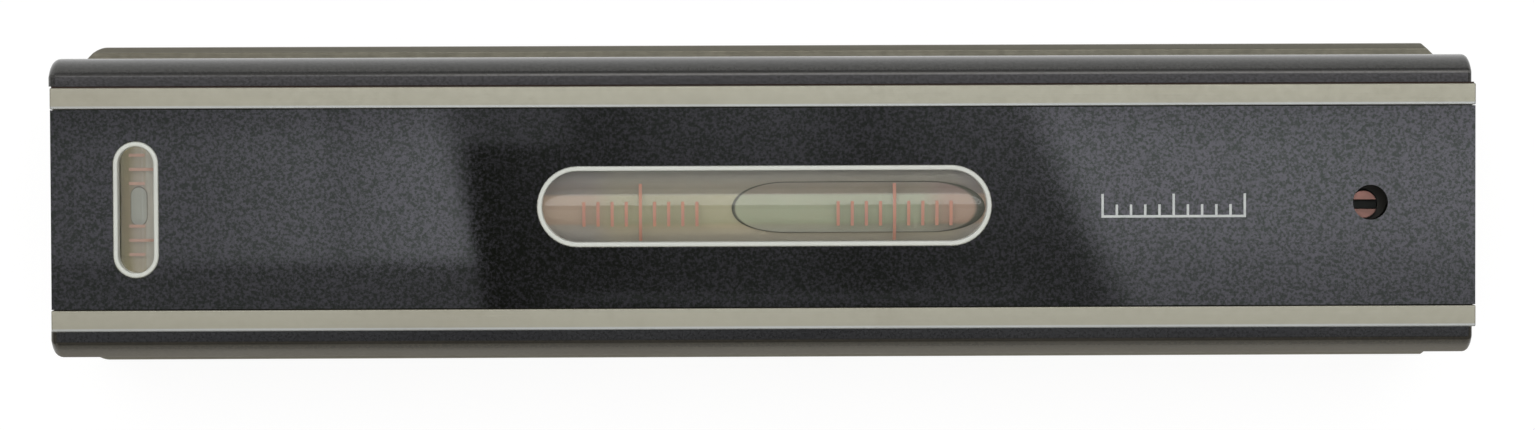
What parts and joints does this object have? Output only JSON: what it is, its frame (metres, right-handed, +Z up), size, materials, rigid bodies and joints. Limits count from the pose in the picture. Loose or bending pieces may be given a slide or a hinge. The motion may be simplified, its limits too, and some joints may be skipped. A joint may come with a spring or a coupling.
{
  "type": "precision spirit level",
  "caption": "Bar-pattern precision spirit level: cast-iron inverted-T body with V-groove base, black cover, long main vial, small cross vial and side grips.",
  "frame": {"origin": "middle of the object's box, on the plane of the ground base", "axes": "+X along the bar from the cross vial to the adjusting screw, +Y across the bar, +Z up from the base to the cover"},
  "size_m": [0.2004, 0.0458, 0.042],
  "materials": {
    "ground_cast_iron": "ground and lightly brushed",
    "black_cover": "semi-gloss black with fine texture",
    "black_plastic": "satin moulded",
    "white_frame": "smooth",
    "window_glass": "clear",
    "vial_glass": "clear, ground bore",
    "spirit": "clear pale green liquid",
    "bubble": "air",
    "steel": "turned",
    "brass": "turned",
    "copper_alloy": "turned, dulled",
    "cement": "matt"
  },
  "bodies": {
    "base": {"body_casting": "ground_cast_iron", "top_cover": "black_cover", "cover_bond_sheet": "cement", "main_window_frame": "white_frame", "cross_window_frame": "white_frame", "main_window_pane": "window_glass", "cross_window_pane": "window_glass", "rear_grip": "black_plastic", "front_grip": "black_plastic", "rear_grip_screw_1": "steel", "rear_grip_screw_2": "steel", "rear_grip_screw_3": "steel", "front_grip_screw_1": "steel", "front_grip_screw_2": "steel", "front_grip_screw_3": "steel", "pivot_bracket": "steel", "pivot_pin": "steel", "bracket_screw_front": "steel", "bracket_screw_rear": "steel", "screw_retaining_plate": "steel", "plate_screw_front": "steel", "plate_screw_rear": "steel", "thrust_bush": "brass", "carrier_spring": "steel", "cross_vial_holder": "steel", "holder_screw_left": "steel", "holder_screw_right": "steel", "cross_vial_glass": "vial_glass", "cross_vial_plug_front": "vial_glass", "cross_vial_plug_rear": "vial_glass", "cross_vial_liquid": "spirit"},
    "vial_carrier": {"carrier_tube": "steel", "vial_packing_left": "cement", "vial_packing_right": "cement", "carrier_pivot_end": "steel", "carrier_tongue": "steel", "tongue_nut": "brass", "main_vial_glass": "vial_glass", "main_vial_plug_left": "vial_glass", "main_vial_plug_right": "vial_glass", "main_vial_liquid": "spirit"},
    "main_bubble": {"main_vial_bubble": "bubble"},
    "cross_bubble": {"cross_vial_bubble": "bubble"},
    "adjuster": {"adjusting_screw": "copper_alloy"}
  },
  "joints": [
    {"name": "adjust_screw_turn", "type": "hinge", "parent": "base", "child": "adjuster", "pos_m": [0.0848, 0, 0.03], "axis": [0, 0, 1], "range_deg": [-360, 360]},
    {"name": "vial_carrier_tilt", "type": "hinge", "parent": "base", "child": "vial_carrier", "pos_m": [-0.053, 0, 0.0292], "axis": [0, 1, 0], "range_deg": [-0.2078, 0.2078], "deforming": ["carrier_spring"]},
    {"name": "main_bubble_slide", "type": "slide", "parent": "vial_carrier", "child": "main_bubble", "axis": [1, 0, 0], "range_m": [-0.0336, 0.0088]},
    {"name": "cross_bubble_slide", "type": "slide", "parent": "base", "child": "cross_bubble", "axis": [0, 1, 0], "range_m": [-0.0077, 0.0059]}
  ],
  "couplings": [
    {"joint": "adjust_screw_turn", "follows": "vial_carrier_tilt", "ratio": 1731.7}
  ]
}
